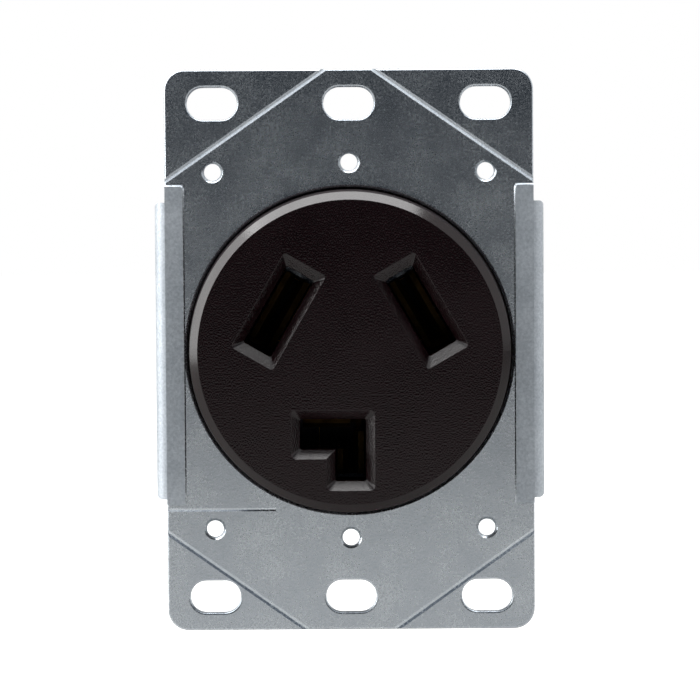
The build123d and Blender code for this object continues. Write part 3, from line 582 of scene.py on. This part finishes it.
# Air: white behind the outlet and wherever a mirrored ray goes, and dimmer as a light on matt
# surfaces, so that the lamps keep their shape.
AIR_SEEN = 1.0
AIR_FILL = 0.4
world = bpy.data.worlds.new("studio air")
bpy.context.scene.world = world
world.use_nodes = True
tree = world.node_tree
tree.nodes.clear()
path = add(tree, "LightPath")
seen = add(tree, "Math", links={0: path.outputs["Is Camera Ray"], 1: path.outputs["Is Glossy Ray"]},
           operation="MAXIMUM")
seen = add(tree, "Math", links={0: seen.outputs[0], 1: path.outputs["Is Transmission Ray"]},
           operation="MAXIMUM")
fill = add(tree, "Background", {"Color": linear("#FFFFFF"), "Strength": AIR_FILL})
white = add(tree, "Background", {"Color": linear("#FFFFFF"), "Strength": AIR_SEEN})
air = add(tree, "MixShader", links={0: seen.outputs[0], 1: fill.outputs[0], 2: white.outputs[0]})
add(tree, "OutputWorld", links={"Surface": air.outputs[0]})


# Front card: the dark end of the studio behind the camera, paler towards the floor and bluer above.
# The camera doesn't see it. The plated strap does, so it runs from dark at its top to pale at its foot.
CARD_Y = -1400 * MM
CARD_SIZE = 9.0
# The card is pale below CARD_PALE_Z and dark above CARD_DARK_Z, and gains a little again higher up
CARD_PALE_Z, CARD_PALE = -0.28, 0.44
CARD_DARK_Z, CARD_DARK = 0.02, 0.03
CARD_UPPER_Z, CARD_TOP_Z, CARD_TOP_GAIN = 0.3, 1.2, 0.1
CARD_BLUE_Z = 0.1
deselect_all()
bpy.ops.mesh.primitive_plane_add(size=CARD_SIZE, location=(0, CARD_Y, 0), rotation=(pi / 2, 0, 0))
card = bpy.context.object
card.name = "studio_front_card"
bpy.ops.object.transform_apply(location=True, rotation=True, scale=True)
card_grey, tree = new_material("studio front card")
height = add(tree, "SeparateXYZ", links={0: add(tree, "TexCoord").outputs["Object"]}).outputs[2]
shade = add(tree, "MapRange", {"From Min": CARD_PALE_Z, "From Max": CARD_DARK_Z, "To Min": CARD_PALE,
                               "To Max": CARD_DARK}, {"Value": height}, interpolation_type="SMOOTHSTEP")
upper = add(tree, "MapRange", {"From Min": CARD_UPPER_Z, "From Max": CARD_TOP_Z, "To Max": CARD_TOP_GAIN},
            {"Value": height})
shade = add(tree, "Math", links={0: shade.outputs[0], 1: upper.outputs[0]}, operation="ADD")
cool = add(tree, "MapRange", {"From Min": CARD_PALE_Z, "From Max": CARD_BLUE_Z}, {"Value": height})
tint = add(tree, "Mix", {6: linear("#F6F6F6"), 7: linear("#C6E0FF")}, {0: cool.outputs[0]}, data_type="RGBA")
light = add(tree, "Emission", links={"Color": tint.outputs[2], "Strength": shade.outputs[0]})
add(tree, "OutputMaterial", links={"Surface": light.outputs[0]})
card.data.materials.append(card_grey)
card.visible_camera = False


# Lamps: a bright strip overhead and one at the left draw the crescent round the face's bevelled edge.
# A wide panel above the camera lights the flanks of the score lines and slots that face up, a narrow
# strip at the left front the slots' right-hand bevels, and a panel at the right the flange.
def softbox(name, place, size, level):
    """A lamp aimed at the outlet. Its level is the brightness that a mirror would show, 1 being white."""
    deselect_all()
    bpy.ops.object.light_add(type="AREA", location=place)
    lamp = bpy.context.object
    lamp.name = name
    lamp.data.shape = "RECTANGLE"
    lamp.data.size, lamp.data.size_y = size
    lamp.data.energy = level * pi * size[0] * size[1]
    lamp.rotation_euler = (-Vector(place)).to_track_quat("-Z", "Y").to_euler()


softbox("overhead strip", (-0.1, 0.0, 0.8), (0.25, 1.1), 9.2)
softbox("upper front panel", (0.0, -0.46, 0.93), (1.7, 0.58), 1.4)
softbox("left strip", (-0.77, 0.0, 0.2), (0.2, 1.3), 5.8)
softbox("left front strip", (-0.75, -0.28, 0.25), (0.22, 0.5), 3.0)
softbox("right panel", (0.8, -0.3, 0.15), (0.3, 0.6), 0.5)


# Camera: almost square on to the face, a little above it and rolled by a third of a degree, on a long
# lens from half a metre.
CAMERA_DISTANCE = 0.51
CAMERA_RISE = radians(2.7)
CAMERA_ROLL = radians(-0.37)
CAMERA_LENS = 154.9
SENSOR_WIDTH = 36
deselect_all()
bpy.ops.object.camera_add()
camera = bpy.context.object
camera.name = "camera"
camera.data.lens, camera.data.sensor_width = CAMERA_LENS, SENSOR_WIDTH
camera.matrix_world = (Matrix.Rotation(-CAMERA_RISE, 4, "X") @ Matrix.Translation((0, -CAMERA_DISTANCE, 0))
                       @ Matrix.Rotation(pi / 2, 4, "X") @ Matrix.Rotation(CAMERA_ROLL, 4, "Z"))
bpy.context.scene.camera = camera

bpy.context.scene.view_settings.view_transform = "Standard"
